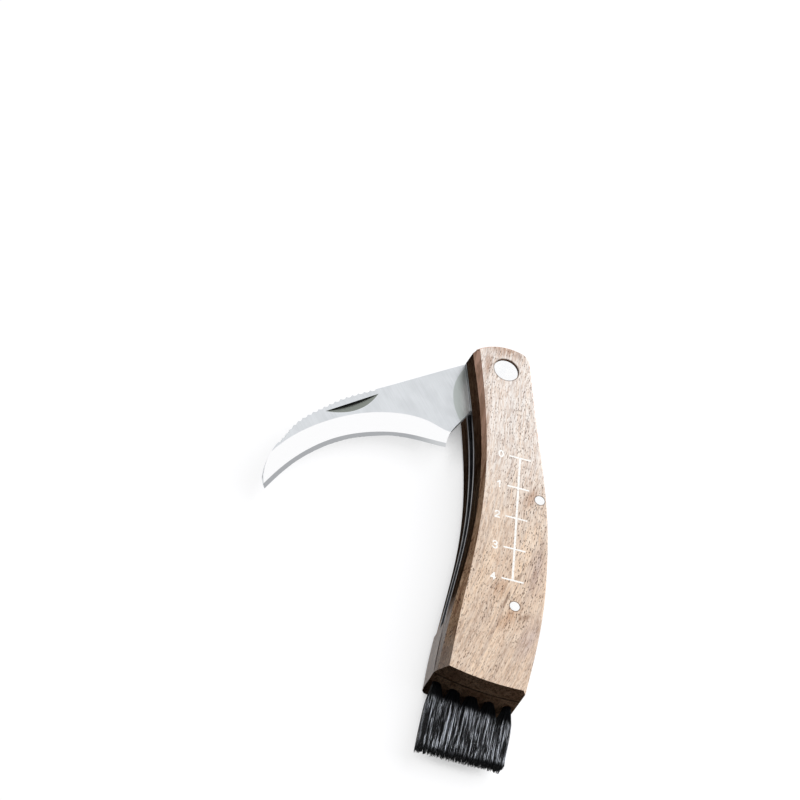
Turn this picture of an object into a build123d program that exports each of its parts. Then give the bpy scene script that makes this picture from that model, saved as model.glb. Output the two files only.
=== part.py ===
from build123d import *
import os
from math import atan2, cos, hypot, radians, sin, tan

# The origin is on the pivot's axis at the handle's underside, in millimetres.
# +Y runs along the handle to the pivot end, +X to the handle's back, +Z to the face with the scale.

# Driving sizes of the handle
pivot_to_tail = 102.0
pivot_to_top = 7.9
handle_width = 21.0
scale_thickness = 6.0
liner_thickness = 0.8
edge_chamfer = 0.45

# Driving sizes of the blade and its pivot
blade_thickness = 2.5
washer_thickness = 0.13
washer_radius = 4.2
shank_radius = 2.0
shank_bore_radius = 1.2
head_radius = 3.6
head_thickness = 1.2
head_recess = 0.4
rivet_end_room = 0.5
pin_radius = 1.4

# Driving sizes of the back spring
spring_tip = 2.8
spring_gap = 0.09
spring_end = 3.0
stop_gap = 0.1
straight_spring = 12.0

# Driving sizes of the blade's edges
blade_end_room = 3.6
edge_half = 0.04
small_bevel_width = 1.1
small_bevel_half = 0.4
tooth_pitch = 1.95
tooth_depth = 0.4
tooth_radius = 1.1
nick_depth = 0.7
nick_width = 2.4
kick_length = 5.0

# Driving sizes of the brush
block_length = 16.0
web_thickness = 2.0
hole_radius = 1.2
hole_depth = 9.0
hole_pitch = 4.97
hole_drop = 4.2
plug_top = 1.5
strand_sink = 0.5
strand_spacing = 0.21
strand_radius = 0.085
strand_tip_radius = 0.075
bundle_radius = 1.0
bristle_reach = 18.2
bristle_rag = 0.5
wire_radius = 0.25
staple_half_width = 0.6
staple_rise = 1.0
staple_leg = 4.0

# Driving sizes of the centimetre scale
graduation = 10.0
tick_half = 3.13
tick_width = 0.5
line_width = 0.6
digit_gap = 5.5
digit_width = 1.6
digit_height = 2.4
stroke_width = 0.45
engraving_depth = 0.3

# Clearances, and the overrun of every cut
fit = 0.02
running_fit = 0.04
overrun = 1.0

# Angles in degrees
back_lean = 8.5
open_turn = 115.0
closed_turn = 47.5
brush_lean = 8.0
bristle_lean = 7.0
golden_turn = 137.5

tuft_count = 5
tick_count = 5
tooth_count = 19

# Levels, from the underside up
lower_liner_z = scale_thickness
slot_z = lower_liner_z + liner_thickness
blade_z = slot_z + washer_thickness + fit
blade_mid_z = blade_z + blade_thickness / 2
blade_top_z = blade_z + blade_thickness
upper_liner_z = blade_top_z + fit + washer_thickness
upper_scale_z = upper_liner_z + liner_thickness
handle_top_z = upper_scale_z + scale_thickness
head_seat_z = handle_top_z - head_recess - head_thickness
hole_z = upper_scale_z - hole_drop

blade_reach = pivot_to_tail - block_length - blade_end_room

# Handle outline: shares of the width, and of the distance to the tail or to the top
back_shares = (
    (0.343, 0.316),
    (0.438, -0.107),
    (0.567, -0.268),
    (0.667, -0.402),
    (0.724, -0.569),
    (0.719, -0.725),
    (0.657, -0.863),
    (0.557, -0.997),
)
slot_side_shares = (
    (-0.586, -0.970),
    (-0.500, -0.814),
    (-0.391, -0.675),
    (-0.290, -0.525),
    (-0.256, -0.353),
    (-0.288, -0.225),
    (-0.374, -0.088),
    (-0.476, 0.456),
)
tail_bulge_share = (0, -0.994)
top_crown_share = (-0.143, 0.949)
top_end_share = (0.200, 0.924)

# Facets along the scales as shares of the scale's thickness, from the tail on.
# On the slot side: inset of the sloping wall and its drop below the outer face, then the whole inset.
upper_slot_facet_shares = (
    (0.067, 0.717, 0.400),
    (0.067, 0.333, 0.390),
    (0.075, 0.250, 0.335),
    (0.075, 0.200, 0.258),
    (0.070, 0.200, 0.255),
    (0.075, 0.200, 0.262),
    (0.085, 0.230, 0.310),
    (0.085, 0.283, 0.350),
)
lower_slot_facet_shares = (
    (0.025, 0.133, 0.133),
    (0.092, 0.200, 0.267),
    (0.083, 0.200, 0.267),
    (0.075, 0.200, 0.258),
    (0.055, 0.200, 0.250),
    (0.020, 0.200, 0.235),
    (0.020, 0.233, 0.250),
    (0.020, 0.267, 0.300),
)
# On the back: drop below the outer face and whole inset.
upper_back_facet_shares = (
    (0.333, 0.193),
    (0.220, 0.140),
    (0.120, 0.095),
    (0.075, 0.070),
)

# Inner edge of the back spring, below its straight part, and the pins, as plan shares
spring_edge_shares = (
    (0.474, -0.265),
    (0.430, -0.333),
    (0.400, -0.402),
    (0.360, -0.588),
    (0.124, -0.755),
    (0.050, -0.830),
)
spring_pin_share = (0.569, -0.403)
tail_pin_share = (0.318, -0.753)
row_middle_share = (-0.0095, -0.9835)
scale_zero_share = (0.268, -0.283)

# Blade outline: shares of the blade's reach, across towards the teeth and along to the tip
spine_shares = (
    (0.104, 0.240),
    (0.104, 0.440),
    (0.103, 0.579),
    (0.091, 0.660),
    (0.074, 0.744),
    (0.049, 0.805),
    (0.022, 0.852),
    (0.006, 0.884),
    (-0.020, 0.920),
    (-0.074, 0.970),
    (-0.127, 0.992),
)
edge_shares = (
    (-0.166, 0.305),
    (-0.096, 0.415),
    (-0.069, 0.470),
    (-0.053, 0.532),
    (-0.040, 0.596),
    (-0.037, 0.667),
    (-0.044, 0.744),
    (-0.061, 0.828),
    (-0.096, 0.924),
    (-0.127, 0.992),
)
choil_shares = (
    (-0.166, 0.305),
    (-0.121, 0.259),
    (-0.095, 0.205),
    (-0.069, 0.156),
)
spine_across_share = 0.104
teeth_start_share = 0.440
nick_start_share = (0.082, 0.443)
nick_end_share = (0.073, 0.653)

# Ground bevel: place along the edge from heel to tip, and width as a share of the blade's reach
bevel_shares = (
    (0.00, 0.056),
    (0.08, 0.074),
    (0.16, 0.083),
    (0.34, 0.083),
    (0.52, 0.077),
    (0.70, 0.076),
    (0.86, 0.071),
    (1.00, 0.063),
)
bevel_lead_share = 0.45
tuft_spread_share = 2.1


def plan(x_share, y_share):
    """Point of the handle's plan, from shares of its width and of its reach."""
    reach = pivot_to_top if y_share > 0 else pivot_to_tail
    return (x_share * handle_width, y_share * reach)


def plan_points(shares):
    return [plan(*pair) for pair in shares]


def from_back(across, along):
    """Point of the plan measured square to the straight back beside the pivot."""
    lean = radians(back_lean)
    return (across * cos(lean) - along * sin(lean), across * sin(lean) + along * cos(lean))


def from_row(along, out):
    """Point of the plan measured from the middle of the row of tufts, along it and out of the tail."""
    lean = radians(brush_lean)
    x, y = plan(*row_middle_share)
    return (x + along * cos(lean) - out * sin(lean), y - along * sin(lean) - out * cos(lean))


def in_blade(across_share, along_share):
    """Point of the blade's own plan, in which the blade points along +Y."""
    return (across_share * blade_reach, along_share * blade_reach)


def back_distance():
    """Distance from the pivot's axis to the straight part of the handle's back."""
    x, y = plan(*back_shares[0])
    lean = radians(back_lean)
    return x * cos(lean) + y * sin(lean)


def slab(face, low, high):
    return Pos(0, 0, low) * extrude(face, high - low, dir=(0, 0, 1))


def post(point, radius, low, high):
    bottom = (Align.CENTER, Align.CENTER, Align.MIN)
    return Pos(*point, low) * Cylinder(radius, high - low, align=bottom)


def through(point, radius):
    """Cutter for a hole through the whole handle."""
    return post(point, radius, -overrun, handle_top_z + overrun)


# Handle

def handle_plan():
    slot_side = Spline(*plan_points(slot_side_shares))
    back = Spline(*plan_points(back_shares))
    tail = ThreePointArc(back @ 1, plan(*tail_bulge_share), slot_side @ 0)
    top = ThreePointArc(slot_side @ 1, plan(*top_crown_share), plan(*top_end_share))
    corner = Spline(top @ 1, back @ 0, tangents=[top % 1, back % 0])
    return make_face([slot_side, top, corner, back, tail])


def block_zone():
    """Plan area behind the front of the brush block, past the tail and both sides."""
    left, right = -handle_width, handle_width
    front, far = -block_length, block_length
    corners = [from_row(left, front), from_row(right, front), from_row(right, far), from_row(left, far)]
    return make_face(Polyline(*corners, close=True))


def run_on(end, inner):
    """Values an overrun past the end of a row, on the line from its neighbour."""
    share = overrun / hypot(end[0] - inner[0], end[1] - inner[1])
    return tuple(last + (last - before) * share for last, before in zip(end, inner))


def slot_profiles(shares):
    """Sections of a scale's slot side: a sloping wall from the liner and a facet at the outer face."""
    return [((0, 1), (inset, drop), (whole_inset, 0)) for inset, drop, whole_inset in shares]


def back_profiles(shares):
    return [((0, drop), (whole_inset, 0)) for drop, whole_inset in shares]


def facet(line, profiles, inward, face_z, outward):
    """Cutter for the slopes along one side of a scale, lofted through sections at the line's points."""
    rows = []
    for point, profile in zip(line, profiles):
        insets_and_drops = [share * scale_thickness for pair in profile for share in pair]
        rows.append((*point, *insets_and_drops))
    rows = [run_on(rows[0], rows[1]), *rows, run_on(rows[-1], rows[-2])]
    sections = []
    for x, y, *values in rows:
        profile = list(zip(values[::2], values[1::2]))
        low = run_on(profile[0], profile[1])
        high = run_on(profile[-1], profile[-2])
        ring = [low, *profile[1:-1], high, (-overrun, high[1]), (-overrun, low[1])]
        corners = [(x + inward * inset, y, face_z - outward * drop) for inset, drop in ring]
        sections.append(make_face(Polyline(*corners, close=True)))
    return loft(sections)


def rim(face):
    """Edges of a scale's outer face round the pivot end and down the back."""
    but_tail = face.edges().sort_by(Axis.Y)[1:]
    return but_tail.sort_by(Axis.X)[1:]


def pin_holes():
    radius = pin_radius + fit
    return [through(plan(*spring_pin_share), radius), through(plan(*tail_pin_share), radius)]


def make_scale_upper(outline, engraving):
    scale = slab(outline, upper_scale_z, handle_top_z)
    scale = chamfer(rim(scale.faces().sort_by(Axis.Z)[-1]), edge_chamfer)
    slot_line = plan_points(slot_side_shares)
    tail_first = plan_points(back_shares)[::-1]
    scale -= facet(slot_line, slot_profiles(upper_slot_facet_shares), 1, handle_top_z, 1)
    scale -= facet(tail_first, back_profiles(upper_back_facet_shares), -1, handle_top_z, 1)
    scale -= through((0, 0), shank_radius + fit)
    scale -= post((0, 0), head_radius + fit, head_seat_z, handle_top_z + overrun)
    scale -= pin_holes()
    scale -= engraving
    return scale


def make_scale_lower(outline):
    scale = slab(outline, 0, scale_thickness)
    scale = chamfer(rim(scale.faces().sort_by(Axis.Z)[0]), edge_chamfer)
    slot_line = plan_points(slot_side_shares)
    scale -= facet(slot_line, slot_profiles(lower_slot_facet_shares), 1, 0, -1)
    scale -= slab(block_zone(), web_thickness, scale_thickness + overrun)
    scale -= through((0, 0), shank_radius + fit)
    scale -= post((0, 0), head_radius + fit, -overrun, head_thickness)
    scale -= pin_holes()
    return scale


def make_liner(outline, low):
    liner = slab(outline - block_zone(), low, low + liner_thickness)
    liner -= through((0, 0), shank_radius + fit)
    liner -= pin_holes()
    return liner


def make_back_spring(outline):
    """Spring along the back: thick over the tang, a thin neck beside the edge, wide at the pins."""
    inner = back_distance() - spring_tip
    start = from_back(inner, spring_end)
    bend = from_back(inner, -straight_spring)
    curve_points = [bend, *plan_points(spring_edge_shares)]
    straight = Line(start, bend)
    middle_run = Vector(*curve_points[-1]) - Vector(*curve_points[-2])
    inner_edge = Spline(*curve_points, tangents=[straight % 1, middle_run.normalized()])
    end = curve_points[-1]
    corners = [
        end,
        (end[0], -pivot_to_tail),
        (handle_width, -pivot_to_tail),
        from_back(handle_width, spring_end),
        start,
    ]
    blank = make_face([straight, inner_edge, Polyline(*corners)])
    spring = slab((blank & outline) - block_zone(), slot_z, upper_liner_z)
    spring -= pin_holes()
    return spring


# Pivot and pins

def make_rivet_tube():
    tube = post((0, 0), shank_radius, head_thickness, head_seat_z)
    tube += post((0, 0), head_radius, head_seat_z, head_seat_z + head_thickness)
    tube -= post((0, 0), shank_bore_radius, head_thickness - overrun, head_seat_z)
    return tube


def make_rivet_pin():
    pin = post((0, 0), head_radius, 0, head_thickness)
    pin += post((0, 0), shank_bore_radius - fit, head_thickness, head_seat_z - rivet_end_room)
    return pin


def make_washer(low):
    washer = post((0, 0), washer_radius, low, low + washer_thickness)
    return washer - through((0, 0), shank_radius + fit)


def make_pin(share):
    return post(plan(*share), pin_radius, 0, handle_top_z)


# Blade, drawn open in its own plan and then turned to the photo's pose

def tang_line(tang_radius, shoulder):
    """Tang outline from the choil round the pivot to the start of the spine."""
    closed = radians(-open_turn - closed_turn)

    def in_closed(across, along):
        return (across * cos(closed) - along * sin(closed), across * sin(closed) + along * cos(closed))

    kick_top = in_closed(tang_radius, -kick_length)
    kick_end = in_closed(tang_radius, 0)
    middle = radians((-open_turn - closed_turn) / 2)
    round_point = (tang_radius * cos(middle), tang_radius * sin(middle))
    corner = (tang_radius, 0)
    return [
        Polyline(in_blade(*choil_shares[-1]), kick_top, kick_end),
        ThreePointArc(kick_end, round_point, corner),
        Polyline(corner, (tang_radius, shoulder), (in_blade(spine_across_share, 0)[0], shoulder)),
    ]


def bevel_cutter(edge):
    """Cutter for the upper side's two ground bevels, lofted along the cutting edge."""
    half = blade_thickness / 2
    top = half + overrun
    stations = [(edge @ place, edge % place, share * blade_reach) for place, share in bevel_shares]
    heel, heel_way, heel_width = stations[0]
    tip, tip_way, tip_width = stations[-1]
    stations.insert(0, (heel - heel_way * heel_width * bevel_lead_share, heel_way, heel_width))
    stations.append((tip + tip_way * overrun, tip_way, tip_width))
    sections = []
    for point, way, width in stations:
        inward = way.rotate(Axis.Z, -90)
        slope = (half - small_bevel_half) / (width - small_bevel_width)
        far = width + overrun
        profile = [
            (-overrun, edge_half),
            (0, edge_half),
            (small_bevel_width, small_bevel_half),
            (far, half + overrun * slope),
            (far, top),
            (-overrun, top),
        ]
        corners = [point + inward * depth + Vector(0, 0, height) for depth, height in profile]
        sections.append(make_face(Polyline(*corners, close=True)))
    return loft(sections)


def teeth_cutters(spine):
    """Row of round scallops across the spine."""
    first = in_blade(0, teeth_start_share)[1] - (spine @ 0).Y
    cutters = []
    for tooth in range(tooth_count):
        share = (first + (tooth + 0.5) * tooth_pitch) / spine.length
        outward = (spine % share).rotate(Axis.Z, -90)
        centre = (spine @ share) + outward * (tooth_radius - tooth_depth)
        cutters.append(Pos(centre.X, centre.Y, 0) * Cylinder(tooth_radius, 2 * blade_thickness))
    return cutters


def nail_nick():
    """Crescent for a fingernail in the upper face, as a tilted grinding wheel leaves it."""
    start = Vector(*in_blade(*nick_start_share))
    end = Vector(*in_blade(*nick_end_share))
    chord = end - start
    wheel_radius = (chord.length ** 2 / 4 + nick_depth ** 2) / (2 * nick_depth)
    tilt = atan2(nick_depth, nick_width)
    across = chord.normalized().rotate(Axis.Z, 90)
    axle = across * cos(tilt) + Vector(0, 0, sin(tilt))
    upright = across * -sin(tilt) + Vector(0, 0, cos(tilt))
    floor = (start + end) / 2 + Vector(0, 0, blade_thickness / 2 - nick_depth)
    place = Plane(floor + upright * wheel_radius, x_dir=chord, z_dir=axle)
    wheel_width = 2 * nick_width
    return place * Cylinder(wheel_radius, wheel_width, align=(Align.CENTER, Align.CENTER, Align.MIN))


def make_blade():
    tang_radius = back_distance() - spring_tip - spring_gap
    shoulder = spring_end + stop_gap
    spine_start = (in_blade(spine_across_share, 0)[0], shoulder)
    spine = Spline(spine_start, *[in_blade(*pair) for pair in spine_shares])
    edge = Spline(*[in_blade(*pair) for pair in edge_shares])
    choil = Spline(*[in_blade(*pair) for pair in choil_shares])
    outline = make_face([*tang_line(tang_radius, shoulder), spine, edge, choil])
    blade = slab(outline, -blade_thickness / 2, blade_thickness / 2)
    bevel = bevel_cutter(edge)
    blade -= bevel
    blade -= mirror(bevel, about=Plane.XY)
    blade -= teeth_cutters(spine)
    blade -= nail_nick()
    blade -= Cylinder(shank_radius + running_fit, 2 * blade_thickness)
    return Pos(0, 0, blade_mid_z) * Rot(0, 0, back_lean + open_turn) * blade


# Brush

def tuft_place(along, out):
    """Frame on a tuft's centre line, with its z out of the tail and its x along the row."""
    lean = radians(brush_lean)
    centre = Vector(*from_row(along, out), hole_z)
    row_way = (cos(lean), -sin(lean), 0)
    out_way = (-sin(lean), -cos(lean), 0)
    return Plane(centre, x_dir=row_way, z_dir=out_way)


def tuft_offsets():
    middle = (tuft_count - 1) / 2
    return [(tuft - middle) * hole_pitch for tuft in range(tuft_count)]


def staple(along, radius, leg):
    """Bent wire: its bridge holds the tuft down and its two legs go into the wood."""
    half = staple_half_width
    arc = ThreePointArc((-half, 0), (0, half), (half, 0))
    path = Wire([Line((-half, -leg), (-half, 0)), arc, Line((half, 0), (half, -leg))])
    section = Plane(path @ 0, z_dir=path % 0) * Circle(radius)
    wire = sweep(section, path)
    upright = Rot(90, 0, 0) * wire
    return tuft_place(along, staple_rise - hole_depth).location * upright


def make_brush_block(outline):
    block = slab(outline & block_zone(), web_thickness, upper_scale_z)
    bottom = (Align.CENTER, Align.CENTER, Align.MIN)
    bore = Cylinder(hole_radius, 2 * hole_depth, align=bottom)
    for along in tuft_offsets():
        block -= tuft_place(along, -hole_depth).location * bore
        block -= staple(along, wire_radius + fit, staple_leg + fit)
    return block


def strand_grid():
    """Places of the strands in one tuft: a honeycomb grid inside its bundle."""
    row_step = strand_spacing * sin(radians(60))
    rows = int(bundle_radius / row_step)
    columns = int(bundle_radius / strand_spacing) + 1
    places = []
    for row in range(-rows, rows + 1):
        shift = strand_spacing / 2 if row % 2 else 0
        for column in range(-columns, columns + 1):
            place = (column * strand_spacing + shift, row * row_step)
            if hypot(*place) < bundle_radius:
                places.append(place)
    return places


def strand(start, end):
    way = end - start
    up = (0, 0, 1)
    root = Plane(start, x_dir=up, z_dir=way) * RegularPolygon(strand_radius, 3)
    tip = Plane(end, x_dir=up, z_dir=way) * RegularPolygon(strand_tip_radius, 3)
    return loft([root.face(), tip.face()], ruled=True)


def make_tuft(along):
    """Strands that spread from a glued root to the line where the brush is trimmed."""
    bottom = (Align.CENTER, Align.CENTER, Align.MIN)
    root_height = hole_depth - plug_top - fit
    plug = Cylinder(hole_radius - fit, root_height, align=bottom)
    root = tuft_place(along, fit - hole_depth).location * plug
    root -= staple(along, wire_radius + fit, staple_leg + fit)
    sink = tuft_place(along, -plug_top - strand_sink)
    trim_y = -pivot_to_tail - bristle_reach
    fall = sink.origin.Y - trim_y
    tip_x = sink.origin.X - fall * tan(radians(bristle_lean))
    strands = []
    for number, (side, height) in enumerate(strand_grid()):
        start = sink.from_local_coords(Vector(side, height, 0))
        rise = start.Z - hole_z
        rag = bristle_rag * sin(radians(golden_turn * number))
        end = Vector(tip_x + side * tuft_spread_share, trim_y + rag, hole_z + rise * tuft_spread_share)
        strands.append(strand(start, end))
    return root.fuse(*strands)


def make_staples():
    return Compound([staple(along, wire_radius, staple_leg).solid() for along in tuft_offsets()])


# Centimetre scale

def ruler_point(down):
    x, y = plan(*scale_zero_share)
    return (x, y - down)


def engraved(sketch):
    return slab(sketch, handle_top_z - engraving_depth, handle_top_z)


def make_ruler_marks():
    length = (tick_count - 1) * graduation
    marks = Pos(*ruler_point(length / 2)) * Rectangle(line_width, length)
    for tick in range(tick_count):
        marks += Pos(*ruler_point(tick * graduation)) * Rectangle(2 * tick_half, tick_width)
    return engraved(marks)


def stroke(*shares):
    """Corner or end of a stroke, from shares of the digit's box."""
    return (shares[0] * (digit_width - stroke_width), shares[1] * (digit_height - stroke_width))


def digit_strokes():
    """Centre lines of the digits 0 to 4."""
    nought = Ellipse((digit_width - stroke_width) / 2, (digit_height - stroke_width) / 2).edges()
    one = [Line(stroke(-0.4, 0.2), stroke(0.1, 0.5)), Line(stroke(0.1, 0.5), stroke(0.1, -0.5))]
    bow = ThreePointArc(stroke(-0.5, 0.25), stroke(0, 0.5), stroke(0.5, 0.25))
    slant = Spline(stroke(0.5, 0.25), stroke(0.2, -0.1), stroke(-0.5, -0.5), tangents=[(0, -1), (-1, -1)])
    two = [bow, slant, Line(stroke(-0.5, -0.5), stroke(0.5, -0.5))]
    upper_bow = ThreePointArc(stroke(-0.5, 0.4), stroke(0.4, 0.27), stroke(-0.1, 0.04))
    lower_bow = ThreePointArc(stroke(-0.1, 0.04), stroke(0.5, -0.25), stroke(-0.5, -0.4))
    three = [upper_bow, lower_bow]
    upright = Line(stroke(0.25, -0.5), stroke(0.25, 0.5))
    four = [upright, Line(stroke(0.25, 0.5), stroke(-0.5, -0.2)), Line(stroke(-0.5, -0.2), stroke(0.5, -0.2))]
    return [nought, one, two, three, four]


def pen(lines):
    """Strokes of one width along the lines, with round ends."""
    shape = Sketch()
    for line in lines:
        shape += trace(line, stroke_width)
        for end in (line @ 0, line @ 1):
            shape += Pos(end.X, end.Y) * Circle(stroke_width / 2)
    return shape


def make_ruler_digits():
    digits = []
    for number, lines in enumerate(digit_strokes()):
        x, y = ruler_point(number * graduation)
        digits.append(engraved(Pos(x - digit_gap, y) * pen(lines)).solid())
    return Compound(digits)


def build():
    """Every node of the knife, by name."""
    outline = handle_plan()
    marks = make_ruler_marks()
    digits = make_ruler_digits()
    nodes = {
        "blade": make_blade(),
        "pivot_rivet_tube": make_rivet_tube(),
        "pivot_rivet_pin": make_rivet_pin(),
        "pivot_washer_upper": make_washer(upper_liner_z - washer_thickness),
        "pivot_washer_lower": make_washer(slot_z),
        "liner_upper": make_liner(outline, upper_liner_z),
        "liner_lower": make_liner(outline, lower_liner_z),
        "scale_upper": make_scale_upper(outline, [marks, digits]),
        "scale_lower": make_scale_lower(outline),
        "back_spring": make_back_spring(outline),
        "spring_pin": make_pin(spring_pin_share),
        "tail_pin": make_pin(tail_pin_share),
        "brush_block": make_brush_block(outline),
        "tuft_staples": make_staples(),
        "ruler_marks": marks,
        "ruler_digits": digits,
    }
    for number, along in enumerate(tuft_offsets(), start=1):
        nodes[f"tuft_{number}"] = make_tuft(along)
    return nodes


os.makedirs("parts", exist_ok=True)
for name, shape in build().items():
    export_step(shape, f"parts/{name}.step")
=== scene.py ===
from math import cos, hypot, pi, radians, sin, sqrt, tan

import bpy
import numpy as np
from mathutils import Matrix, Vector


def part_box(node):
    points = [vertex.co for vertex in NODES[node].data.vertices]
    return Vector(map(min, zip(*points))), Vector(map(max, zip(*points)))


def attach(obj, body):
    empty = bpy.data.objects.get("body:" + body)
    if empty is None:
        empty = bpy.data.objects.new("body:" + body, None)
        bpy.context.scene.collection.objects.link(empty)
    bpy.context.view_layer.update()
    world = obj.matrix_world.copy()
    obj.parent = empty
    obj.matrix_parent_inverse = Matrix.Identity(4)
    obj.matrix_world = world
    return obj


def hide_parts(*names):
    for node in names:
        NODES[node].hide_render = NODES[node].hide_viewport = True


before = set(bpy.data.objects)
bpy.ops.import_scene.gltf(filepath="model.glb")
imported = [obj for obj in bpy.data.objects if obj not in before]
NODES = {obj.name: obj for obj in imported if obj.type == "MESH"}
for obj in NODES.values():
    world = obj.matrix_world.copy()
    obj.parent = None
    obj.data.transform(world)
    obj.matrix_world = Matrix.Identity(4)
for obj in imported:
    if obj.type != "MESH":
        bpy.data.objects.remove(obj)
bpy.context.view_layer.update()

# Mushroom knife: the finishes of its CAD nodes, fine bristles in the place of the plain tufts, and the
# floor, light and camera of its picture. Lengths are in metres. The origin is on the pivot's axis at the
# handle's underside, +Y runs to the pivot end, +X to the handle's back and +Z to the face with the scale.
# The materials work in millimetres of the same frame, and so do their patterns, ranges and places.
MM = 0.001

# Camera, as the photograph was taken, with its lens and sensor in millimetres
CAMERA_PLACE = Vector((-0.20180, -0.51061, 0.64625))
CAMERA_AIM = Vector((-0.02754, -0.01347, 0.0082))
CAMERA_ROLL = radians(29.81)
CAMERA_LENS = 135.0
SENSOR_WIDTH = 36.0

# Light
STAGE_CENTRE = Vector((-0.01, -0.04, 0.0))
KEY_WAY = Vector((0.56, 0.25, 0.80))
KEY_DISTANCE = 1.3
KEY_SIZE = 1.70
KEY_POWER = 29.5
AMBIENT_BRIGHT = (0.12, 0.122, 0.128, 1.0)
AMBIENT_DARK = (0.006, 0.006, 0.007, 1.0)
AMBIENT_RANGE = (-0.1, 0.95)
WHITE = (1.0, 1.0, 1.0, 1.0)

# Floor, and the painted soft shadow close to the object, which dims the floor's glow: its reach, its
# samples, and the shares of open sky between which it fades
FLOOR_SIZE = 6.0
FLOOR_GAP = 0.02 * MM
FLOOR_COLOUR = (0.18, 0.18, 0.19, 1.0)
FLOOR_SOFT_COLOUR = (0.025, 0.025, 0.025, 1.0)
FLOOR_GLOW = (0.86, 0.86, 0.86, 1.0)
CONTACT_REACH = 11 * MM
CONTACT_SAMPLES = 8
OPEN_RANGE = (0.0, 0.60)

# Brush: the row of holes, as the brush block holds them
TUFT_COUNT = 5
HOLE_PITCH = 4.97 * MM
HOLE_HEIGHT = 6.2 * MM
ROW_MIDDLE = Vector((-0.1995 * MM, -100.317 * MM, HOLE_HEIGHT))
ROW_LEAN = radians(8.0)
ROW_WAY = Vector((cos(ROW_LEAN), -sin(ROW_LEAN), 0.0))
OUT_WAY = Vector((-sin(ROW_LEAN), -cos(ROW_LEAN), 0.0))

# Bristles: a round bundle in the hole, which opens until it meets its neighbours and then runs on. The
# places of a strand's points are in millimetres from the bottom of its bundle.
STRANDS_PER_TUFT = 300
STRAND_RADIUS = 0.07 * MM
STRAND_SIDES = 4
ROOT_DEPTH = 2.0 * MM
BUNDLE_RADIUS = 1.05 * MM
OPENED_REACH = 5.6 * MM
OPENED_ALONG = 2.58 * MM
OPENED_OUTSIDE = 1.55 * MM
OPENED_HIGH = 1.55 * MM
TIP_SPREAD = 1.12
BRISTLE_LEAN = radians(7.0)
TRIM_Y = -120.2 * MM
TRIM_LAST = -120.66 * MM
TRIM_SLOPE = 0.030
TRIM_RAG = 0.36 * MM
STRAND_PLACES = (0.0, 1.4, 2.6, 4.0, 5.4, 6.8, 9.0, 12.0, 15.5, 18.6)
CLUMPS_PER_TUFT = 11
CLUMP_REACH_SHARE = 0.9
CLUMP_PULL_SHARE = 0.22
SCATTER_SHARE = 0.09
BOW = 0.16 * MM
BRISTLE_SEED = 20

NO_SHIFT = (0.0, 0.0, 0.0)


def linear(level):
    """Linear light of one 0 to 255 display level, by the usual curve of displays."""
    value = level / 255
    return value / 12.92 if value <= 0.04045 else ((value + 0.055) / 1.055) ** 2.4


def tone(red, green, blue):
    """Shader colour of a display colour."""
    return (linear(red), linear(green), linear(blue), 1.0)


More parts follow.
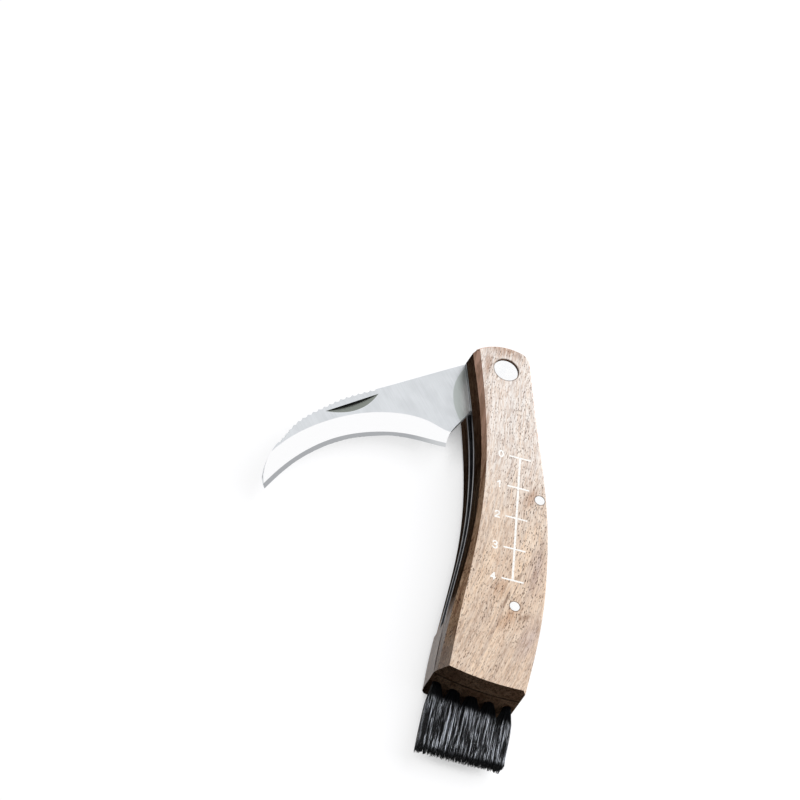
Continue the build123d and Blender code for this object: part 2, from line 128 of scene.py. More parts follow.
class Recipe:
    """The node tree of one material or of the world, with short calls for the nodes that they share."""

    def __init__(self, owner):
        owner.use_nodes = True
        self.owner = owner
        self.tree = owner.node_tree

    def add(self, kind, inputs, **settings):
        node = self.tree.nodes.new("ShaderNode" + kind)
        for name, value in settings.items():
            setattr(node, name, value)
        for socket, value in inputs.items():
            self.put(node.inputs[socket], value)
        return node

    def put(self, socket, value):
        if isinstance(value, bpy.types.NodeSocket):
            self.tree.links.new(value, socket)
        else:
            socket.default_value = value

    def set(self, **values):
        """Sockets of the surface shader, their names written with underscores."""
        surface = self.tree.nodes["Principled BSDF"]
        for name, value in values.items():
            self.put(surface.inputs[name.replace("_", " ")], value)

    def place(self):
        """Position on the piece in millimetres, in the object's frame."""
        coordinates = self.add("TexCoord", {}).outputs["Object"]
        return self.add("VectorMath", {0: coordinates, 3: 1 / MM}, operation="SCALE").outputs[0]

    def split(self, vector):
        return self.add("SeparateXYZ", {0: vector}).outputs

    def join(self, x, y, z):
        return self.add("CombineXYZ", {0: x, 1: y, 2: z}).outputs[0]

    def math(self, operation, first, second=0.0):
        return self.add("Math", {0: first, 1: second}, operation=operation).outputs[0]

    def product(self, *values):
        total = values[0]
        for value in values[1:]:
            total = self.math("MULTIPLY", total, value)
        return total

    def move(self, vector, shift):
        return self.add("VectorMath", {0: vector, 1: shift}, operation="ADD").outputs[0]

    def stretch(self, vector, scales):
        return self.add("VectorMath", {0: vector, 1: scales}, operation="MULTIPLY").outputs[0]

    def flatten(self, vector):
        """Vector with its height taken out."""
        return self.stretch(vector, (1.0, 1.0, 0.0))

    def turn(self, vector, angle):
        """Vector turned about the vertical."""
        inputs = {"Vector": vector, "Angle": angle}
        return self.add("VectorRotate", inputs, rotation_type="Z_AXIS").outputs[0]

    def distance(self, vector, middle):
        return self.add("VectorMath", {0: vector, 1: middle}, operation="DISTANCE").outputs[1]

    def noise(self, vector, scale=1.0, detail=2.0, roughness=0.5):
        inputs = {"Vector": vector, "Scale": scale, "Detail": detail, "Roughness": roughness}
        return self.add("TexNoise", inputs).outputs[0]

    def pattern(self, vector, cells, detail, roughness, shift=NO_SHIFT):
        """Noise with its own count of cells in a millimetre on X, Y and Z."""
        return self.noise(self.move(self.stretch(vector, cells), shift), detail=detail, roughness=roughness)

    def smooth(self, value, low, high, first=0.0, last=1.0):
        """Value taken smoothly from first at low to last at high."""
        inputs = {0: value, 1: low, 2: high, 3: first, 4: last}
        return self.add("MapRange", inputs, interpolation_type="SMOOTHSTEP").outputs[0]

    def mix(self, share, first, second):
        node = self.add("Mix", {0: share, 6: first, 7: second}, data_type="RGBA")
        return node.outputs[2]

    def bump(self, height, depth, strength):
        inputs = {"Height": height, "Distance": depth, "Strength": strength}
        return self.add("Bump", inputs).outputs[0]

    def level(self):
        """How nearly a face lies level: 1 on the flats, 0 on upright walls."""
        normal = self.add("NewGeometry", {}).outputs["True Normal"]
        return self.math("ABSOLUTE", self.split(normal)[2])

    def seen_plainly(self):
        """1 for what the camera sees, straight on, in a gloss or through glass, and 0 for soft light."""
        rays = self.add("LightPath", {}).outputs
        share = self.math("MAXIMUM", rays["Is Camera Ray"], rays["Is Glossy Ray"])
        return self.math("MAXIMUM", share, rays["Is Transmission Ray"])


def new_recipe(name):
    return Recipe(bpy.data.materials.new(name))


# Noise patterns, in all the materials, are written as the cells in a millimetre on X, Y and Z, the
# detail, the roughness and any shift. Ranges are written as the two limits of a value and, unless they
# are 0 and 1, the results at those limits.

# Grain of the wood. It follows the handle and leans over towards the tail, by a steady and a growing
# part, and it wanders to the side. The shifts keep the three wooden pieces from showing the same grain.
GRAIN_LEAN = 0.06
GRAIN_BEND = 0.000011
GRAIN_BEND_POWER = 3.0
WANDER_CELLS = 0.045
WANDER_REACH = 3.5
LOWER_SHIFT = (31.0, 12.0, 5.0)
BLOCK_SHIFT = (57.0, 40.0, 9.0)

# Colours of the wood
WALNUT_LIGHT = tone(224, 188, 154)
WALNUT_MIDDLE = tone(192, 154, 124)
WALNUT_DARK = tone(138, 98, 72)
# The pore colour also serves for painted shade and painted shadow
WALNUT_PORE_AND_PAINTED_SHADE = tone(58, 36, 25)
WALNUT_GREY = tone(206, 188, 182)
WALNUT_AMBER = tone(164, 112, 72)
WALNUT_VEIN = tone(92, 58, 38)
# The two sheen colours are painted sheen on the flats, warmer towards the tail
WALNUT_PAINTED_SHEEN = tone(254, 251, 247)
WALNUT_PAINTED_SHEEN_TAIL = tone(255, 242, 226)
# Painted light on the facets beside the pivot
WALNUT_PAINTED_FACET_LIGHT = tone(254, 205, 180)

# Bands, streaks and fibres, and how ragged the streaks make the patches
BANDS = ((0.16, 0.010, 0.12), 3.0, 0.55)
BAND_RANGE = (0.36, 0.64)
STREAKS = ((0.95, 0.040, 0.8), 4.0, 0.65)
STREAK_RANGE = (0.45, 0.64)
STREAK_SHARE = 0.86
RAGGED_RANGE = (0.34, 0.56, 0.35, 1.0)
FIBRES = ((3.4, 0.30, 3.4), 3.0, 0.7)
FIBRE_RANGE = (0.40, 0.66, 0.0, 0.75)

# Figure of the upper scale: middle, half widths across and along, turn in degrees, colour and share
PATCHES = (
    ((9.3, -41.0), (2.6, 6.5), -20.0, WALNUT_AMBER, 0.85),
    ((5.2, -81.0), (3.4, 9.5), -27.0, WALNUT_AMBER, 0.75),
    ((11.2, -86.0), (5.0, 13.0), -14.0, WALNUT_GREY, 0.80),
    ((12.6, -64.0), (4.2, 16.0), -8.0, WALNUT_GREY, 0.70),
    ((2.3, -72.5), (3.2, 6.5), -16.0, WALNUT_AMBER, 0.60),
    ((-1.0, 7.2), (10.0, 5.6), 0.0, WALNUT_AMBER, 0.75),
    ((7.0, -67.8), (0.9, 4.2), -38.0, WALNUT_VEIN, 0.90),
    ((4.2, -75.5), (0.9, 6.0), -20.0, WALNUT_VEIN, 0.90),
    ((9.6, -79.6), (1.5, 3.8), -62.0, WALNUT_VEIN, 0.60),
    ((-5.4, 0.0), (2.0, 8.0), -5.0, WALNUT_AMBER, 0.60),
    ((3.6, 6.0), (1.2, 3.2), 10.0, WALNUT_VEIN, 0.60),
    ((-5.0, -22.0), (2.2, 26.0), 0.0, WALNUT_AMBER, 0.40),
)

# Vessels, one row for each layer: width and length of a cell, size of the vessel in it, and shift
PORE_LAYERS = (
    (0.62, 2.3, 0.26, (0.0, 0.0, 0.0)),
    (0.48, 1.7, 0.27, (3.1, 1.7, 2.3)),
    (0.40, 1.3, 0.28, (7.9, 5.3, 1.1)),
)
PORE_RANDOMNESS = 0.95
PORE_CORE_SHARE = 0.5
PORE_KEPT_RANGE = (0.0, 0.4, 0.45, 1.0)

# How dense the vessels lie, the oval of the face in which they lie densest (its middle, half widths
# and turn in degrees), and how dark they are, from the tail to the pivot
DENSITY = ((0.13, 0.030, 0.13), 2.0, 0.5, (7.3, 0.0, 0.0))
DENSITY_RANGE = (0.38, 0.60, 0.50, 1.0)
POROUS_PLACE = ((9.0, -60.0), (8.5, 46.0), -6.0)
POROUS_RANGE = (0.0, 0.5)
PORE_RANGE = (-60.0, -20.0, 0.98, 0.80)

# A dark line along the lower edge of the upper scale, and thin painted shadows round the pieces that end in
# the face
JOINT_RANGE = (0.12, 0.32, 0.85, 0.0)
ROUND_PIECES = ("spring_pin", "tail_pin", "pivot_rivet_tube")
RING_START = 0.12
RING_END = 0.42
RING_SHARE = 0.6

# Slot side: the way that its faces look across, its painted shade near the pivot and its wear at the tail
SLOT_SIDE_RANGE = (-0.90, -0.70, 1.0, 0.0)
PAINTED_SHADE_RANGE = (-46.0, -26.0)
PAINTED_SHADE_SHARE = 0.62
WORN_RANGE = (-88.0, -74.0, 1.0, 0.0)
WORN_GLOSS_RANGE = (0.0, 1.0, 0.0, 0.55)
WORN_ROUGHNESS_RANGE = (0.0, 1.0, 0.56, 0.36)

# Facets with painted light: how level they lie, where along the handle the light is painted, its streaks and
# the facets' gloss
FACET_LEVEL = 0.64
FACET_LEVEL_REACH = 0.30
FACET_RANGE = (-44.0, -6.0, 0.0, 0.94)
FACET_STREAK_RANGE = (0.38, 0.60, 1.0, 0.50)
FACET_GLOSS_RANGE = (-3.0, 2.0, 0.0, 1.0)

# Painted sheen: a pale reflection painted on the flats that look up and towards the back. The way that
# they look, across and up, its strength and its paleness from the tail to the pivot, what vessels and
# figure leave of it, and its painted glints
PAINTED_SHEEN_WAY_ACROSS = 0.45
PAINTED_SHEEN_WAY_UP = 0.89
FLAT_RANGE = (0.50, 0.80)
PAINTED_SHEEN_RANGE = (-70.0, -15.0, 0.43, 0.64)
PAINTED_SHEEN_PALER_RANGE = (-70.0, -15.0)
VESSEL_PAINTED_SHEEN_RANGE = (0.0, 0.9, 1.0, 0.25)
FIGURE_PAINTED_SHEEN_RANGE = (0.0, 1.0, 1.0, 0.45)
PAINTED_GLINTS = ((2.6, 0.34, 2.6), 4.0, 0.7, (1.7, 8.0, 3.0))
PAINTED_GLINT_RANGE = (0.36, 0.64, 1.30, 0.64)

# Relief of the wood
FIBRE_RELIEF_SHARE = 0.25
WOOD_RELIEF = 0.06 * MM
WOOD_RELIEF_STRENGTH = 0.6


def grain_place(recipe, place, shift):
    """Position in which the grain runs straight along Y, moved by the shift."""
    x, y, z = recipe.split(place)
    wander = recipe.noise(recipe.join(shift[0], recipe.product(y, WANDER_CELLS), 0.0))
    bend = recipe.product(recipe.math("POWER", recipe.math("ABSOLUTE", y), GRAIN_BEND_POWER), GRAIN_BEND)
    lean = recipe.math("SUBTRACT", bend, recipe.product(y, GRAIN_LEAN))
    across = recipe.math("ADD", recipe.math("ADD", x, lean), recipe.product(wander, WANDER_REACH))
    return recipe.move(recipe.join(across, y, z), shift)


def oval(recipe, place, middle, reach, turn):
    """1 in the middle of a turned oval on the handle's face, falling to 0 at its edge."""
    moved = recipe.move(recipe.flatten(place), (-middle[0], -middle[1], 0.0))
    local = recipe.turn(moved, -radians(turn))
    shares = recipe.stretch(local, (1 / reach[0], 1 / reach[1], 0.0))
    reached = recipe.add("VectorMath", {0: shares}, operation="LENGTH").outputs[1]
    return recipe.smooth(reached, 0.0, 1.0, 1.0, 0.0)


def pores(recipe, grain):
    """Short vessels along the grain: 1 inside one, 0 outside."""
    total = 0.0
    for width, length, limit, shift in PORE_LAYERS:
        cells = recipe.move(recipe.stretch(grain, (1 / width, 1 / length, 1 / width)), shift)
        inputs = {"Vector": cells, "Scale": 1.0, "Randomness": PORE_RANDOMNESS}
        voronoi = recipe.add("TexVoronoi", inputs).outputs
        inside = recipe.smooth(voronoi["Distance"], limit * PORE_CORE_SHARE, limit, 1.0, 0.0)
        kept = recipe.smooth(recipe.split(voronoi["Color"])[0], *PORE_KEPT_RANGE)
        total = recipe.math("MAXIMUM", recipe.product(inside, kept), total)
    return total


def open_grain(recipe, place, grain):
    """Share of the vessels that shows in each place."""
    density = recipe.smooth(recipe.pattern(grain, *DENSITY), *DENSITY_RANGE)
    porous = recipe.smooth(oval(recipe, place, *POROUS_PLACE), *POROUS_RANGE)
    return recipe.math("MAXIMUM", density, porous)


def brown_wood(recipe, place, grain, streaks, fibres, patches):
    """Colour of the wood under its painted sheen, without its vessels, and how strongly the patches show."""
    bands = recipe.pattern(grain, *BANDS)
    colour = recipe.mix(recipe.smooth(bands, *BAND_RANGE), WALNUT_LIGHT, WALNUT_MIDDLE)
    streak = recipe.product(recipe.smooth(streaks, *STREAK_RANGE), STREAK_SHARE)
    colour = recipe.mix(streak, colour, WALNUT_DARK)
    ragged = recipe.smooth(streaks, *RAGGED_RANGE)
    figure = 0.0
    for middle, reach, turn, patch_colour, share in patches:
        drawn = recipe.product(oval(recipe, place, middle, reach, turn), ragged)
        colour = recipe.mix(recipe.product(drawn, share), colour, patch_colour)
        figure = recipe.math("MAXIMUM", drawn, figure)
    colour = recipe.mix(recipe.smooth(fibres, *FIBRE_RANGE), colour, WALNUT_DARK)
    return colour, figure


def joint_line_and_painted_rings(recipe, place):
    """Painted shadow round the pins and the rivet, and a dark line along the joint under the upper scale."""
    joint = recipe.math("SUBTRACT", recipe.split(place)[2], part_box("scale_upper")[0].z / MM)
    total = recipe.smooth(recipe.math("ABSOLUTE", joint), *JOINT_RANGE)
    for name in ROUND_PIECES:
        low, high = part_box(name)
        middle = (low + high) / 2 / MM
        radius = (high.x - low.x) / 2 / MM
        distance = recipe.distance(recipe.flatten(place), (middle.x, middle.y, 0.0))
        ring = recipe.smooth(distance, radius + RING_START, radius + RING_END, RING_SHARE, 0.0)
        total = recipe.math("MAXIMUM", total, ring)
    return total


def painted_facet_light(recipe, along, level, streaks):
    """Share of the painted light on the facets, most of all beside the pivot."""
    off_level = recipe.math("ABSOLUTE", recipe.math("SUBTRACT", level, FACET_LEVEL))
    return recipe.product(
        recipe.math("LESS_THAN", off_level, FACET_LEVEL_REACH),
        recipe.smooth(along, *FACET_RANGE),
        recipe.smooth(streaks, *FACET_STREAK_RANGE),
    )


def painted_flat_sheen(recipe, along, level, across, grain, vessels, figure):
    """Share of the pale painted sheen on the flats that look up and towards the back."""
    facing = recipe.math("ADD", recipe.product(across, PAINTED_SHEEN_WAY_ACROSS), recipe.product(level, PAINTED_SHEEN_WAY_UP))
    return recipe.product(
        recipe.smooth(facing, *FLAT_RANGE),
        recipe.smooth(along, *PAINTED_SHEEN_RANGE),
        recipe.smooth(vessels, *VESSEL_PAINTED_SHEEN_RANGE),
        recipe.smooth(figure, *FIGURE_PAINTED_SHEEN_RANGE),
        recipe.smooth(recipe.pattern(grain, *PAINTED_GLINTS), *PAINTED_GLINT_RANGE),
    )


def walnut(name, shift=NO_SHIFT, patches=()):
    """Oiled walnut, brown on slopes and ends, with a pale painted sheen on the flats, painted light on the
    facets beside the pivot and painted shade on the slot side near the pivot.
    """
    recipe = new_recipe(name)
    place = recipe.place()
    along = recipe.split(place)[1]
    level = recipe.level()
    across = recipe.split(recipe.add("TexCoord", {}).outputs["Normal"])[0]
    slot_side = recipe.smooth(across, *SLOT_SIDE_RANGE)
    grain = grain_place(recipe, place, shift)
    streaks = recipe.pattern(grain, *STREAKS)
    fibres = recipe.pattern(grain, *FIBRES)
    vessels = recipe.product(pores(recipe, grain), open_grain(recipe, place, grain))
    colour, figure = brown_wood(recipe, place, grain, streaks, fibres, patches)
    colour = recipe.mix(recipe.product(vessels, recipe.smooth(along, *PORE_RANGE)), colour, WALNUT_PORE_AND_PAINTED_SHADE)
    # Painted shade: the slot-side walls darkened near the pivot
    shade = recipe.product(slot_side, recipe.smooth(along, *PAINTED_SHADE_RANGE), PAINTED_SHADE_SHARE)
    colour = recipe.mix(shade, colour, WALNUT_PORE_AND_PAINTED_SHADE)
    # Painted light: the facets beside the pivot are made paler
    painted_facet_share = painted_facet_light(recipe, along, level, streaks)
    colour = recipe.mix(painted_facet_share, colour, WALNUT_PAINTED_FACET_LIGHT)
    # Painted sheen: a pale reflection painted on the flats
    painted_sheen = painted_flat_sheen(recipe, along, level, across, grain, vessels, figure)
    painted_sheen_colour = recipe.mix(recipe.smooth(along, *PAINTED_SHEEN_PALER_RANGE), WALNUT_PAINTED_SHEEN_TAIL, WALNUT_PAINTED_SHEEN)
    colour = recipe.mix(painted_sheen, colour, painted_sheen_colour)
    # Painted shadow round the pins and the rivet, and the dark joint line
    colour = recipe.mix(joint_line_and_painted_rings(recipe, place), colour, WALNUT_PORE_AND_PAINTED_SHADE)
    worn = recipe.product(slot_side, recipe.smooth(along, *WORN_RANGE))
    facet_gloss = recipe.product(painted_facet_share, recipe.smooth(along, *FACET_GLOSS_RANGE))
    relief = recipe.math("SUBTRACT", recipe.product(fibres, FIBRE_RELIEF_SHARE), vessels)
    recipe.set(
        Base_Color=colour,
        Roughness=recipe.smooth(worn, *WORN_ROUGHNESS_RANGE),
        Specular_IOR_Level=recipe.math("MAXIMUM", recipe.smooth(worn, *WORN_GLOSS_RANGE), facet_gloss),
        Normal=recipe.bump(relief, WOOD_RELIEF, WOOD_RELIEF_STRENGTH),
    )
    return recipe.owner


# Blade: its turn from +Y, and the levels that tell its faces apart. The flats lie above the first, the
# wide bevel above the second, the edge bevel and the nick's floor above the third, the walls below the
# fourth, and of those the nick's wall above the last. The nick's floor is on the spine's side of a line
# along the blade, the edge bevel on the other.
BLADE_TURN = radians(123.5)
FLAT_LEVEL = 0.9993
BEVEL_LEVEL = 0.966
SLOPE_LEVEL = 0.90
UPRIGHT_LEVEL = 0.5
NICK_WALL_LEVEL = 0.02
NICK_SIDE = 3.0

# Colours of the blade
FLAT_COLOUR = tone(230, 233, 237)
FLAT_CLOUD = tone(221, 224, 228)
TANG_COLOUR = tone(190, 196, 194)
TANG_LIGHT = tone(250, 252, 252)
# The bevel's near-white colour is its polish and partly a painted highlight
BEVEL_POLISH_AND_HIGHLIGHT = tone(253, 253, 254)
EDGE_COLOUR = tone(178, 180, 183)
EDGE_HEEL_COLOUR = tone(212, 214, 216)
NICK_COLOUR = tone(140, 145, 139)
# The nick's wall colour is painted shadow
NICK_WALL_PAINTED_SHADOW = tone(46, 46, 44)
SIDE_COLOUR = tone(226, 228, 230)

# Satin of the flats. The roughness of the bevel and of the sides is a shade of grey.
SCRATCHES = ((0.10, 9.0, 3.0), 3.0, 0.7)
SCRATCH_RANGE = (0.35, 0.75)
SCRATCH_SHARE = 0.30
SCRATCH_ROUGHNESS_RANGE = (0.3, 0.7, 0.30, 0.44)
SCRATCH_DEPTH = 0.004 * MM
SCRATCH_STRENGTH = 0.35
BLADE_CLOUDS = ((0.14, 0.22, 0.1), 2.0, 0.5)
BLADE_CLOUD_RANGE = (0.35, 0.7)
BEVEL_ROUGHNESS = tone(90, 90, 90)
SIDE_ROUGHNESS = tone(225, 225, 225)

# Darker band on the tang, beside the handle: its round limit, and the rim within it that fades to a
# pale middle. The edge is lighter as far as the heel's range, which starts from the same centre.
TANG_CENTRE = (4.0, -7.0, 0.0)
TANG_RADIUS = 16.8
TANG_SOFTNESS = 0.15
TANG_RIM = 1.2
TANG_RIM_FADED = 5.0
TANG_RANGE = (TANG_RADIUS - TANG_SOFTNESS, TANG_RADIUS + TANG_SOFTNESS, 1.0, 0.0)
TANG_LIGHT_RANGE = (TANG_RADIUS - TANG_RIM_FADED, TANG_RADIUS - TANG_RIM, 1.0, 0.0)
HEEL_RANGE = (25.0, 33.0, 1.0, 0.0)


def blade_flats(recipe, local, scratches, offset):
    """Colour of the flats: cloudy and scratched, with the band on the tang."""
    clouds = recipe.pattern(local, *BLADE_CLOUDS)
    colour = recipe.mix(recipe.smooth(clouds, *BLADE_CLOUD_RANGE), FLAT_COLOUR, FLAT_CLOUD)
    lines = recipe.product(recipe.smooth(scratches, *SCRATCH_RANGE), SCRATCH_SHARE)
    colour = recipe.mix(lines, colour, TANG_COLOUR)
    band = recipe.mix(recipe.smooth(offset, *TANG_LIGHT_RANGE), TANG_COLOUR, TANG_LIGHT)
    return recipe.mix(recipe.smooth(offset, *TANG_RANGE), colour, band)


def blade_steel():
    """Satin flats ground across the blade, a polished bevel whose near-white colour is partly a painted
    highlight, a finely ground edge, and painted shadow on the nick's wall.
    """
    recipe = new_recipe("blade_steel")
    place = recipe.place()
    local = recipe.turn(place, -BLADE_TURN)
    offset = recipe.distance(recipe.flatten(place), TANG_CENTRE)
    scratches = recipe.pattern(local, *SCRATCHES)
    level = recipe.level()
    flat = recipe.math("GREATER_THAN", level, FLAT_LEVEL)
    ground = recipe.math("GREATER_THAN", level, BEVEL_LEVEL)
    bevel = recipe.product(ground, recipe.math("SUBTRACT", 1.0, flat))
    sloped = recipe.math("GREATER_THAN", level, SLOPE_LEVEL)
    edge = recipe.product(sloped, recipe.math("SUBTRACT", 1.0, ground))
    nick_floor = recipe.product(edge, recipe.math("GREATER_THAN", recipe.split(local)[0], NICK_SIDE))
    side = recipe.math("LESS_THAN", level, UPRIGHT_LEVEL)
    painted_nick_shadow = recipe.product(side, recipe.math("GREATER_THAN", level, NICK_WALL_LEVEL))
    edge_colour = recipe.mix(recipe.smooth(offset, *HEEL_RANGE), EDGE_COLOUR, EDGE_HEEL_COLOUR)
    colour = recipe.mix(bevel, blade_flats(recipe, local, scratches, offset), BEVEL_POLISH_AND_HIGHLIGHT)
    colour = recipe.mix(edge, colour, edge_colour)
    colour = recipe.mix(nick_floor, colour, NICK_COLOUR)
    colour = recipe.mix(side, colour, SIDE_COLOUR)
    colour = recipe.mix(painted_nick_shadow, colour, NICK_WALL_PAINTED_SHADOW)
    roughness = recipe.smooth(scratches, *SCRATCH_ROUGHNESS_RANGE)
    roughness = recipe.mix(bevel, roughness, BEVEL_ROUGHNESS)
    recipe.set(
        Base_Color=colour,
        Metallic=1.0,
        Roughness=recipe.mix(side, roughness, SIDE_ROUGHNESS),
        Normal=recipe.bump(scratches, SCRATCH_DEPTH, SCRATCH_STRENGTH),
    )
    return recipe.owner


# Plain metals: light and dark colour, roughness where smoothest and where roughest, cells of the fine
# lines, and their depth
ROLLED_LINES = (0.4, 7.0, 7.0)
ROLLED_DEPTH = 0.004 * MM
POLISHED_STEEL = (tone(255, 255, 255), tone(250, 251, 253), 0.08, 0.14, (0.5, 0.5, 0.5), 0.0006 * MM)
LINER_STEEL = (tone(128, 128, 130), tone(92, 92, 94), 0.30, 0.42, ROLLED_LINES, ROLLED_DEPTH)
SPRING_STEEL = (tone(138, 138, 140), tone(108, 108, 110), 0.28, 0.40, ROLLED_LINES, ROLLED_DEPTH)
BRONZE = (tone(206, 162, 98), tone(168, 124, 70), 0.25, 0.40, ROLLED_LINES, ROLLED_DEPTH)
STAPLE_WIRE = (tone(190, 190, 190), tone(160, 160, 160), 0.25, 0.35, ROLLED_LINES, ROLLED_DEPTH)

# Lines and clouds that the plain metals share
LINE_DETAIL = 3.0
LINE_ROUGHNESS = 0.65
LINE_RANGE = (0.3, 0.7)
LINE_STRENGTH = 0.3
LINE_SHARE = 0.6
METAL_CLOUDS = ((0.35, 0.35, 0.35), 3.0, 0.5)
METAL_CLOUD_SHARE = 0.4
METAL_SHADE_RANGE = (0.35, 0.65)


def plain_metal(name, light, dark, smoothest, roughest, cells, depth):
    """Metal with fine lines from rolling or grinding."""
    recipe = new_recipe(name)
    place = recipe.place()
    lines = recipe.pattern(place, cells, LINE_DETAIL, LINE_ROUGHNESS)
    clouds = recipe.product(recipe.pattern(place, *METAL_CLOUDS), METAL_CLOUD_SHARE)
    shade = recipe.math("ADD", recipe.product(lines, LINE_SHARE), clouds)
    recipe.set(
        Base_Color=recipe.mix(recipe.smooth(shade, *METAL_SHADE_RANGE), light, dark),
        Metallic=1.0,
        Roughness=recipe.smooth(lines, *LINE_RANGE, smoothest, roughest),
        Normal=recipe.bump(lines, depth, LINE_STRENGTH),
    )
    return recipe.owner


# Paint: fresh and worn colour, and the scale, detail and roughness of its grain and of its wear
PAINT_FRESH = tone(250, 249, 246)
PAINT_WORN = tone(226, 218, 210)
PAINT_GRAIN = (5.0, 3.0, 0.6)
PAINT_WEAR = (1.6, 2.0, 0.5)
PAINT_WEAR_RANGE = (0.50, 0.78)
PAINT_ROUGHNESS_RANGE = (0.3, 0.7, 0.45, 0.65)
PAINT_RELIEF = 0.03 * MM
PAINT_RELIEF_STRENGTH = 0.5


def white_paint():
    """Matt filling of the engraved lines, a little uneven."""
    recipe = new_recipe("white_paint")
    place = recipe.place()
    grain = recipe.noise(place, *PAINT_GRAIN)
    worn = recipe.smooth(recipe.noise(place, *PAINT_WEAR), *PAINT_WEAR_RANGE)
    recipe.set(
        Base_Color=recipe.mix(worn, PAINT_FRESH, PAINT_WORN),
        Roughness=recipe.smooth(grain, *PAINT_ROUGHNESS_RANGE),
        Normal=recipe.bump(grain, PAINT_RELIEF, PAINT_RELIEF_STRENGTH),
    )
    return recipe.owner


def paint_nodes():
    """A material for each CAD node, apart from the plain tufts."""
    polished = plain_metal("polished_steel", *POLISHED_STEEL)
    liner = plain_metal("liner_steel", *LINER_STEEL)
    bronze = plain_metal("bronze", *BRONZE)
    paint = white_paint()
    finishes = {
        "blade": blade_steel(),
        "scale_upper": walnut("walnut_upper", patches=PATCHES),
        "scale_lower": walnut("walnut_lower", LOWER_SHIFT),
        "brush_block": walnut("walnut_block", BLOCK_SHIFT),
        "pivot_rivet_tube": polished,
        "pivot_rivet_pin": polished,
        "spring_pin": polished,
        "tail_pin": polished,
        "liner_upper": liner,
        "liner_lower": liner,
        "back_spring": plain_metal("spring_steel", *SPRING_STEEL),
        "pivot_washer_upper": bronze,
        "pivot_washer_lower": bronze,
        "tuft_staples": plain_metal("staple_wire", *STAPLE_WIRE),
        "ruler_marks": paint,
        "ruler_digits": paint,
    }
    for name, material in finishes.items():
        NODES[name].material_slots[0].material = material


# Nylon: its black and its painted highlight, the streaks and single strands that get the highlight, and
# where they do, from a ragged line past the roots, where the handle's shade falls, to just before the tips
NYLON_BLACK = tone(13, 14, 16)
NYLON_PAINTED_HIGHLIGHT = tone(236, 241, 250)
NYLON_STREAKS = ((1.7, 0.10, 1.7), 3.0, 0.65)
NYLON_STREAK_RANGE = (0.47, 0.57)
NYLON_STRANDS = ((7.0, 0.06, 7.0), 1.0, 0.5, (9.0, 0.0, 4.0))
NYLON_STRAND_RANGE = (0.40, 0.54, 0.12, 1.0)
NYLON_RAG = 5.0
NYLON_ROOT_RANGE = (-104.4, -102.0, 1.0, 0.0)
NYLON_TIP_RANGE = (-120.3, -118.6)
NYLON_ROUGHNESS_RANGE = (0.3, 0.7, 0.34, 0.50)
NYLON_GLOSS_RANGE = (0.0, 1.0, 0.10, 0.30)


def bristle_nylon():
    """Black nylon with a painted highlight in streaks, apart from its roots, where the handle's shade falls,
    and its cut tips.
    """
    recipe = new_recipe("bristle_nylon")
    x, y, z = recipe.split(recipe.place())
    leaned = recipe.math("SUBTRACT", x, recipe.product(y, tan(BRISTLE_LEAN)))
    strand = recipe.join(leaned, y, z)
    streaks = recipe.pattern(strand, *NYLON_STREAKS)
    single = recipe.pattern(strand, *NYLON_STRANDS)
    fall = recipe.math("ADD", y, recipe.product(x, tan(ROW_LEAN)))
    fall = recipe.math("ADD", fall, recipe.product(streaks, NYLON_RAG))
    # Painted highlight: streaks painted on the black, left out at the roots where the handle's shade falls
    painted_light_span = recipe.product(recipe.smooth(fall, *NYLON_ROOT_RANGE), recipe.smooth(y, *NYLON_TIP_RANGE))
    painted_highlight = recipe.product(
        recipe.smooth(streaks, *NYLON_STREAK_RANGE),
        painted_light_span,
        recipe.smooth(single, *NYLON_STRAND_RANGE),
    )
    recipe.set(
        Base_Color=recipe.mix(painted_highlight, NYLON_BLACK, NYLON_PAINTED_HIGHLIGHT),
        Roughness=recipe.smooth(single, *NYLON_ROUGHNESS_RANGE),
        Specular_IOR_Level=recipe.smooth(painted_light_span, *NYLON_GLOSS_RANGE),
    )
    return recipe.owner


def sunflower(count, radius):
    """Even places over a disc, each the golden angle on from the last."""
    turn = pi * (3 - sqrt(5))
    places = []
    for number in range(count):
        reach = radius * sqrt((number + 0.5) / count)
        places.append((reach * cos(number * turn), reach * sin(number * turn)))
    return places


def squared(x, y):
    """Place in a disc moved out to the square round it, so that a row of tufts leaves no gaps."""
    longest = max(abs(x), abs(y))
    stretch = hypot(x, y) / longest if longest else 1.0
    return (x * stretch, y * stretch)


def strand_line(root, offset, aim, tip_y, bow):
    """Points of one strand, from the bottom of its bundle to the trimmed tip."""
    fall = root.y - tip_y
    points = []
    for place in [*(number * MM for number in STRAND_PLACES), fall]:
        share = place / fall
        opened = min(1.0, max(0.0, place - ROOT_DEPTH) / OPENED_REACH)
        spread = 1 + (TIP_SPREAD - 1) * share
        arch = opened * sin(pi * share)
        side = offset[0] + (aim[0] * spread - offset[0]) * opened + bow[0] * arch
        rise = offset[1] + (aim[1] * spread - offset[1]) * opened + bow[1] * arch
        points.append(root + Vector((side - place * tan(BRISTLE_LEAN), -place, rise)))
    return points


def tube(points, radius, vertices, faces):
    """Thin closed tube along the points, added to the lists of vertices and faces."""
    first = len(vertices)
    for number, point in enumerate(points):
        ahead = points[min(number + 1, len(points) - 1)] - points[max(number - 1, 0)]
        way = ahead.normalized()
        side = way.cross(Vector((0, 0, 1))).normalized()
        up = side.cross(way)
        for corner in range(STRAND_SIDES):
            angle = 2 * pi * corner / STRAND_SIDES
            vertices.append(point + (side * cos(angle) + up * sin(angle)) * radius)
    for ring in range(len(points) - 1):
        base = first + ring * STRAND_SIDES
        for corner in range(STRAND_SIDES):
            beside = (corner + 1) % STRAND_SIDES
            above = base + STRAND_SIDES
            faces.append((base + corner, base + beside, above + beside, above + corner))
    last = first + (len(points) - 1) * STRAND_SIDES
    faces.append(tuple(first + corner for corner in reversed(range(STRAND_SIDES))))
    faces.append(tuple(last + corner for corner in range(STRAND_SIDES)))


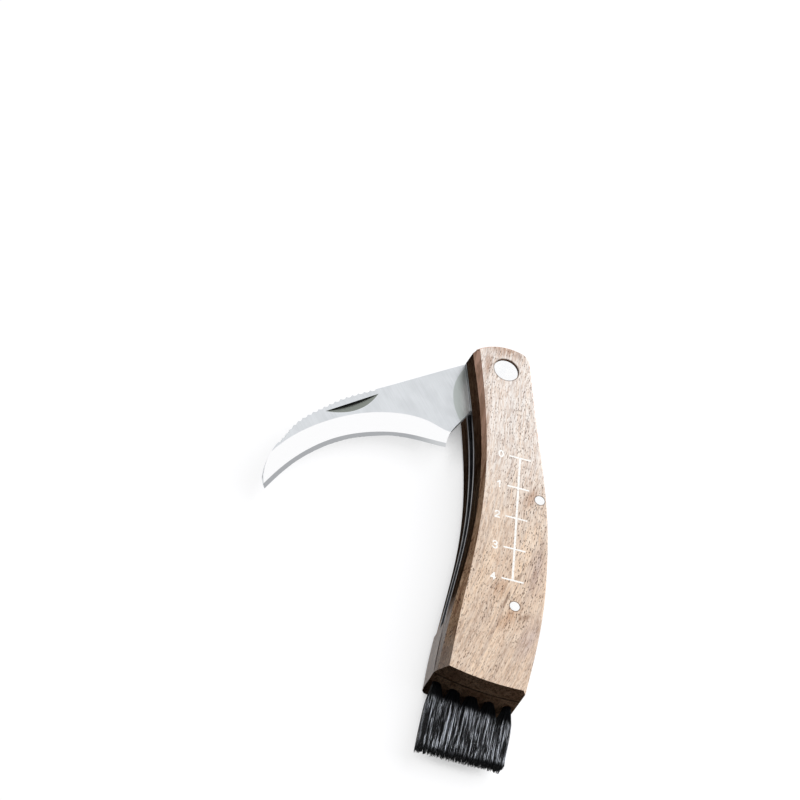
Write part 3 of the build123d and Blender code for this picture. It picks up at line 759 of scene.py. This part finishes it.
def make_tuft(number, material):
    """A full tuft of fine strands in the place of the plain one."""
    random = np.random.default_rng(BRISTLE_SEED + number)
    along = (number - (TUFT_COUNT + 1) / 2) * HOLE_PITCH
    root = ROW_MIDDLE + ROW_WAY * along - OUT_WAY * ROOT_DEPTH
    reach_back = OPENED_OUTSIDE if number == 1 else OPENED_ALONG
    reach_ahead = OPENED_OUTSIDE if number == TUFT_COUNT else OPENED_ALONG
    clumps = sunflower(CLUMPS_PER_TUFT, CLUMP_REACH_SHARE)
    vertices = []
    faces = []
    for x, y in sunflower(STRANDS_PER_TUFT, 1.0):
        nearest = min(clumps, key=lambda clump: hypot(clump[0] - x, clump[1] - y))
        scatter = random.normal(0, SCATTER_SHARE, 2)
        aim_x, aim_y = squared(
            x + (nearest[0] - x) * CLUMP_PULL_SHARE + scatter[0],
            y + (nearest[1] - y) * CLUMP_PULL_SHARE + scatter[1],
        )
        aim = (aim_x * (reach_ahead if aim_x > 0 else reach_back), aim_y * OPENED_HIGH)
        offset = (x * BUNDLE_RADIUS, y * BUNDLE_RADIUS)
        tip_y = TRIM_Y - TRIM_SLOPE * (root.x + aim[0]) + random.uniform(-TRIM_RAG, TRIM_RAG)
        tip_y = max(tip_y, TRIM_LAST)
        bow = random.normal(0, BOW, 2)
        tube(strand_line(root, offset, aim, tip_y, bow), STRAND_RADIUS, vertices, faces)
    mesh = bpy.data.meshes.new(f"bristles_{number}")
    mesh.from_pydata(vertices, [], faces)
    mesh.polygons.foreach_set("use_smooth", [True] * len(mesh.polygons))
    mesh.materials.append(material)
    piece = bpy.data.objects.new(f"bristles_{number}", mesh)
    bpy.context.scene.collection.objects.link(piece)
    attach(piece, "handle")
    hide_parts(f"tuft_{number}")


def make_floor():
    """Pale floor that shows white where no shadow falls, with a painted soft shadow close to the object."""
    recipe = new_recipe("floor")
    half = FLOOR_SIZE / 2
    corners = [(-half, -half, 0), (half, -half, 0), (half, half, 0), (-half, half, 0)]
    mesh = bpy.data.meshes.new("floor")
    mesh.from_pydata(corners, [], [(0, 1, 2, 3)])
    floor = bpy.data.objects.new("floor", mesh)
    floor.location = (0, 0, -FLOOR_GAP)
    bpy.context.scene.collection.objects.link(floor)
    # Painted shadow: the glow is dimmed where the object closes in the sky
    painted_contact_shadow = recipe.add("AmbientOcclusion", {"Distance": CONTACT_REACH}, samples=CONTACT_SAMPLES)
    open_share = recipe.smooth(painted_contact_shadow.outputs["AO"], *OPEN_RANGE)
    strength = recipe.product(recipe.seen_plainly(), open_share)
    glow = recipe.add("Emission", {"Color": FLOOR_GLOW, "Strength": strength}).outputs[0]
    surface = recipe.tree.nodes["Principled BSDF"].outputs[0]
    both = recipe.add("AddShader", {0: glow, 1: surface}).outputs[0]
    recipe.put(recipe.tree.nodes["Material Output"].inputs["Surface"], both)
    colour = recipe.mix(recipe.seen_plainly(), FLOOR_SOFT_COLOUR, FLOOR_COLOUR)
    recipe.set(Base_Color=colour, Roughness=1.0, Specular_IOR_Level=0.0)
    mesh.materials.append(recipe.owner)


def make_world():
    """Soft grey light all round, with a white background behind the object and in its reflections."""
    world = bpy.data.worlds.new("studio")
    bpy.context.scene.world = world
    recipe = Recipe(world)
    way = recipe.add("TexCoord", {}).outputs["Generated"]
    towards = recipe.add("VectorMath", {0: way, 1: KEY_WAY}, operation="DOT_PRODUCT").outputs[1]
    share = recipe.smooth(towards, *AMBIENT_RANGE)
    soft = recipe.tree.nodes["Background"]
    recipe.put(soft.inputs["Color"], recipe.mix(share, AMBIENT_DARK, AMBIENT_BRIGHT))
    white = recipe.add("Background", {"Color": WHITE})
    inputs = {0: recipe.seen_plainly(), 1: soft.outputs[0], 2: white.outputs[0]}
    both = recipe.add("MixShader", inputs).outputs[0]
    recipe.put(recipe.tree.nodes["World Output"].inputs["Surface"], both)


def make_key_light():
    """One large soft light behind the object on its right, left out of the reflections."""
    light = bpy.data.lights.new("key", "AREA")
    light.shape = "DISK"
    light.size = KEY_SIZE
    light.energy = KEY_POWER
    lamp = bpy.data.objects.new("key", light)
    way = KEY_WAY.normalized()
    lamp.location = STAGE_CENTRE + way * KEY_DISTANCE
    lamp.rotation_mode = "QUATERNION"
    lamp.rotation_quaternion = way.to_track_quat("Z", "Y")
    lamp.visible_glossy = False
    bpy.context.scene.collection.objects.link(lamp)


def make_camera():
    """Camera that looks at its aim from the photograph's angle."""
    data = bpy.data.cameras.new("camera")
    data.lens = CAMERA_LENS
    data.sensor_width = SENSOR_WIDTH
    camera = bpy.data.objects.new("camera", data)
    turn = (CAMERA_AIM - CAMERA_PLACE).to_track_quat("-Z", "Y").to_matrix()
    roll = Matrix.Rotation(CAMERA_ROLL, 3, "Z")
    camera.matrix_world = Matrix.Translation(CAMERA_PLACE) @ (turn @ roll).to_4x4()
    bpy.context.scene.collection.objects.link(camera)
    bpy.context.scene.camera = camera


paint_nodes()
nylon = bristle_nylon()
for tuft in range(1, TUFT_COUNT + 1):
    make_tuft(tuft, nylon)
make_floor()
make_world()
make_key_light()
make_camera()
bpy.context.scene.view_settings.view_transform = "Standard"
